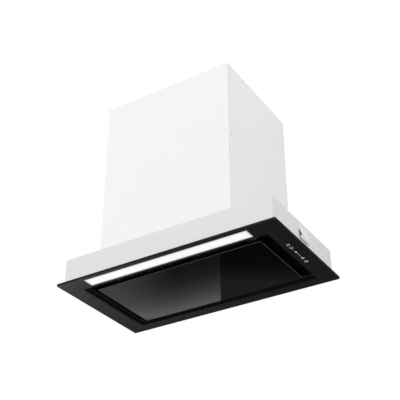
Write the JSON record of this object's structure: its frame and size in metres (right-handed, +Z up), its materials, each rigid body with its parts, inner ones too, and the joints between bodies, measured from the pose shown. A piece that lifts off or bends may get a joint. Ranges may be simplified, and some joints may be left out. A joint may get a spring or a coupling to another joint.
{
  "type": "built-in range hood",
  "caption": "Built-in range hood: black fascia with a drop-down glass suction panel, light strip and touch keys, under a pale steel casing with a blower and a round duct collar.",
  "frame": {"origin": "centre of the cabinet cut-out, in the plane of the cabinet's underside that the casing's flange seats on", "axes": "+X to the right and +Y to the back for someone facing the hood, +Z up; the black fascia faces down"},
  "size_m": [0.52, 0.285, 0.464],
  "materials": {
    "black_steel": "satin black powder coat",
    "black_glass": "polished black glass",
    "opal": "opal, lit from behind",
    "aluminium": "mill finish",
    "lamp_board": "white solder resist",
    "green_board": "green solder resist",
    "black_plastic": "fine grain",
    "panel_steel": "satin black",
    "black_fittings": "satin black",
    "pin_steel": "ground",
    "magnet": "sintered",
    "casing_white": "pale semi-gloss",
    "black_tray": "satin black",
    "spring_steel": "blued edge",
    "screw_steel": "zinc plated",
    "grey_plastic": "moulded grain",
    "fan_plastic": "moulded grain",
    "motor_paint": "grey",
    "bronze": "sintered",
    "lamination": "stacked sheet",
    "zinc_steel": "zinc coated",
    "rubber": "matt"
  },
  "bodies": {
    "casing": {"fascia_frame": "black_steel", "touch_window": "black_glass", "light_diffuser": "opal", "light_channel": "aluminium", "filter_frame": "aluminium", "filter_mesh": "aluminium", "led_board": "lamp_board", "touch_board": "green_board", "power_board": "green_board", "touch_cover": "black_plastic", "control_box": "black_plastic", "control_lid": "black_plastic", "led_driver": "black_plastic", "cable_gland": "black_plastic", "gland_nut": "black_plastic", "latch_guide": "black_plastic", "hinge_bracket_right": "black_fittings", "hinge_bracket_left": "black_fittings", "catch_brackets": "black_fittings", "latch_keeper": "black_fittings", "hinge_pins": "pin_steel", "flap_spindle": "pin_steel", "catch_magnets": "magnet", "seat_frame": "casing_white", "body_shell": "casing_white", "deck_plate": "casing_white", "housing_wrap": "casing_white", "housing_front": "casing_white", "housing_top": "casing_white", "suction_tray": "black_tray", "side_clip_right": "spring_steel", "side_clip_left": "spring_steel", "latch_spring": "spring_steel", "clip_rivets": "screw_steel", "motor_screws": "screw_steel", "fascia_screws": "screw_steel", "casing_screws": "screw_steel", "scroll_left": "grey_plastic", "scroll_right": "grey_plastic", "outlet_duct": "grey_plastic", "outlet_collar": "grey_plastic", "capacitor": "grey_plastic", "motor_can": "motor_paint", "motor_bearings": "bronze", "motor_stator": "lamination", "motor_bracket": "zinc_steel", "support_rails": "zinc_steel", "collar_ring": "zinc_steel", "motor_bushes": "rubber"},
    "suction_panel": {"panel_glass": "black_glass", "panel_carrier": "panel_steel", "panel_strikers": "panel_steel", "hinge_arms": "panel_steel"},
    "fan": {"impeller": "fan_plastic", "motor_shaft": "pin_steel", "fan_nut": "pin_steel", "motor_rotor": "lamination"},
    "front_flap": {"flap_front": "grey_plastic"},
    "back_flap": {"flap_back": "grey_plastic"},
    "latch": {"filter_latch": "black_plastic"}
  },
  "joints": [
    {"name": "panel_hinge", "type": "hinge", "parent": "casing", "child": "suction_panel", "pos_m": [0, 0.0913, 0.014], "axis": [1, 0, 0], "range_deg": [0, 88]},
    {"name": "fan_spin", "type": "hinge", "parent": "casing", "child": "fan", "pos_m": [0, -0.01063, 0.2102], "axis": [1, 0, 0], "continuous": true},
    {"name": "front_flap_swing", "type": "hinge", "parent": "casing", "child": "front_flap", "pos_m": [0, 0.036, 0.43205], "axis": [-1, 0, 0], "range_deg": [0, 78]},
    {"name": "back_flap_swing", "type": "hinge", "parent": "casing", "child": "back_flap", "pos_m": [0, 0.036, 0.43205], "axis": [1, 0, 0], "range_deg": [0, 78]},
    {"name": "latch_slide", "type": "slide", "parent": "casing", "child": "latch", "axis": [0, 1, 0], "range_m": [0, 0.007], "stiffness_N_per_m": 400, "springref_m": -0.004, "deforming": ["latch_spring"]}
  ]
}
